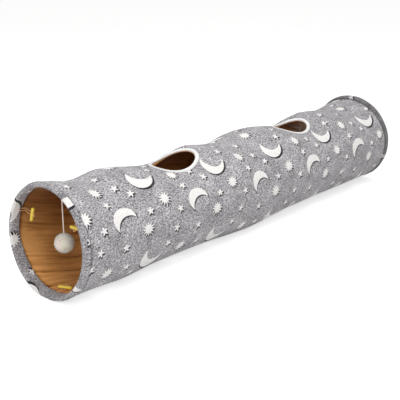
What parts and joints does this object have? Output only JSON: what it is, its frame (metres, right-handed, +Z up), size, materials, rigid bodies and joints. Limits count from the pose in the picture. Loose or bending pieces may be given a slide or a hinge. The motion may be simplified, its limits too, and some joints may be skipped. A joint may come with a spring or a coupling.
{
  "type": "cat tunnel",
  "caption": "Collapsible plush cat tunnel on a sprung wire coil, with peek holes on top, balls hanging inside on strings, and toggles and loops that hold it shut when squashed.",
  "frame": {"origin": "on the floor under the middle of the open tunnel", "axes": "+X along the tunnel, away from the mouth with the toggles; +Z up; the peek holes lean towards -Y"},
  "size_m": [1.2994, 0.2676, 0.2676],
  "materials": {
    "grey_plush": "short heather grey plush with a printed white pattern",
    "brown_lining": "smooth brown rustling cloth",
    "spring_steel": "hardened spring wire",
    "crimped_steel": "crimped sleeve",
    "cream_binding": "folded bias tape",
    "cream_tape": "woven tape",
    "pale_string": "thin pale string",
    "ball_plush": "greige plush ball",
    "yellow_toggle": "smooth yellow plastic",
    "tan_elastic": "round woven elastic"
  },
  "bodies": {
    "near_end": {"near_rim_band": "grey_plush", "outer_cover": "grey_plush", "inner_lining": "brown_lining", "spring_coil": "spring_steel", "near_hole_binding": "cream_binding", "far_hole_binding": "cream_binding", "coil_ferrule_near": "crimped_steel", "near_ball_tab": "cream_tape"},
    "far_end": {"far_rim_band": "grey_plush", "coil_ferrule_far": "crimped_steel"},
    "far_ball_mount": {"far_ball_tab": "cream_tape"},
    "near_ball_loop": {"near_string_loop": "pale_string"},
    "near_ball_swing": {"near_ball_string": "pale_string", "near_ball": "ball_plush"},
    "far_ball_loop": {"far_string_loop": "pale_string"},
    "far_ball_swing": {"far_ball_string": "pale_string", "far_ball": "ball_plush"},
    "toggle_left_loop": {"toggle_loop_left": "tan_elastic", "toggle_left": "yellow_toggle"},
    "far_end_loop_left": {"far_loop_left": "tan_elastic"},
    "toggle_right_loop": {"toggle_loop_right": "tan_elastic", "toggle_right": "yellow_toggle"},
    "far_end_loop_right": {"far_loop_right": "tan_elastic"},
    "toggle_bottom_loop": {"toggle_loop_bottom": "tan_elastic", "toggle_bottom": "yellow_toggle"},
    "far_end_loop_bottom": {"far_loop_bottom": "tan_elastic"}
  },
  "joints": [
    {"name": "collapse", "type": "slide", "parent": "near_end", "child": "far_end", "axis": [1, 0, 0], "range_m": [-1.15, 0], "stiffness_N_per_m": 6, "springref_m": 0.1, "deforming": ["outer_cover", "inner_lining", "spring_coil", "near_hole_binding", "far_hole_binding"]},
    {"name": "far_ball_follow", "type": "slide", "parent": "near_end", "child": "far_ball_mount", "axis": [1, 0, 0], "range_m": [-0.926, 0]},
    {"name": "near_ball_swing_lengthwise", "type": "hinge", "parent": "near_end", "child": "near_ball_loop", "pos_m": [-0.59592, -0.01195, 0.2397], "axis": [0, 1, 0], "range_deg": [-60, 60]},
    {"name": "near_ball_swing_sideways", "type": "hinge", "parent": "near_ball_loop", "child": "near_ball_swing", "pos_m": [-0.59592, -0.01195, 0.2312], "axis": [1, 0, 0], "range_deg": [-25, 25]},
    {"name": "far_ball_swing_lengthwise", "type": "hinge", "parent": "far_ball_mount", "child": "far_ball_loop", "pos_m": [0.37331, 0.02745, 0.22822], "axis": [0, 1, 0], "range_deg": [-60, 60]},
    {"name": "far_ball_swing_sideways", "type": "hinge", "parent": "far_ball_loop", "child": "far_ball_swing", "pos_m": [0.37331, 0.02745, 0.21972], "axis": [1, 0, 0], "range_deg": [-25, 25]},
    {"name": "toggle_left_swing", "type": "hinge", "parent": "near_end", "child": "toggle_left_loop", "pos_m": [-0.60436, 0.11474, 0.17692], "axis": [0, 0.2588, -0.9659], "range_deg": [-60, 60], "stiffness_Nm_per_rad": 0.02},
    {"name": "toggle_right_swing", "type": "hinge", "parent": "near_end", "child": "toggle_right_loop", "pos_m": [-0.60237, -0.09411, 0.211], "axis": [0, 0.7071, 0.7071], "range_deg": [-60, 40], "stiffness_Nm_per_rad": 0.02},
    {"name": "toggle_bottom_swing", "type": "hinge", "parent": "near_end", "child": "toggle_bottom_loop", "pos_m": [-0.61399, -0.01299, 0.01126], "axis": [0, -1, 0], "range_deg": [0, 75], "stiffness_Nm_per_rad": 0.02},
    {"name": "far_loop_left_swing", "type": "hinge", "parent": "far_end", "child": "far_end_loop_left", "pos_m": [0.60434, 0.11499, 0.17741], "axis": [0, 0.2588, -0.9659], "range_deg": [-60, 60], "stiffness_Nm_per_rad": 0.005},
    {"name": "far_loop_right_swing", "type": "hinge", "parent": "far_end", "child": "far_end_loop_right", "pos_m": [0.60239, -0.09399, 0.21063], "axis": [0, 0.7071, 0.7071], "range_deg": [-60, 60], "stiffness_Nm_per_rad": 0.005},
    {"name": "far_loop_bottom_swing", "type": "hinge", "parent": "far_end", "child": "far_end_loop_bottom", "pos_m": [0.61399, -0.01299, 0.01126], "axis": [0, -1, 0], "range_deg": [-60, 60], "stiffness_Nm_per_rad": 0.005}
  ],
  "couplings": [
    {"joint": "far_ball_follow", "follows": "collapse", "ratio": 0.80514}
  ]
}
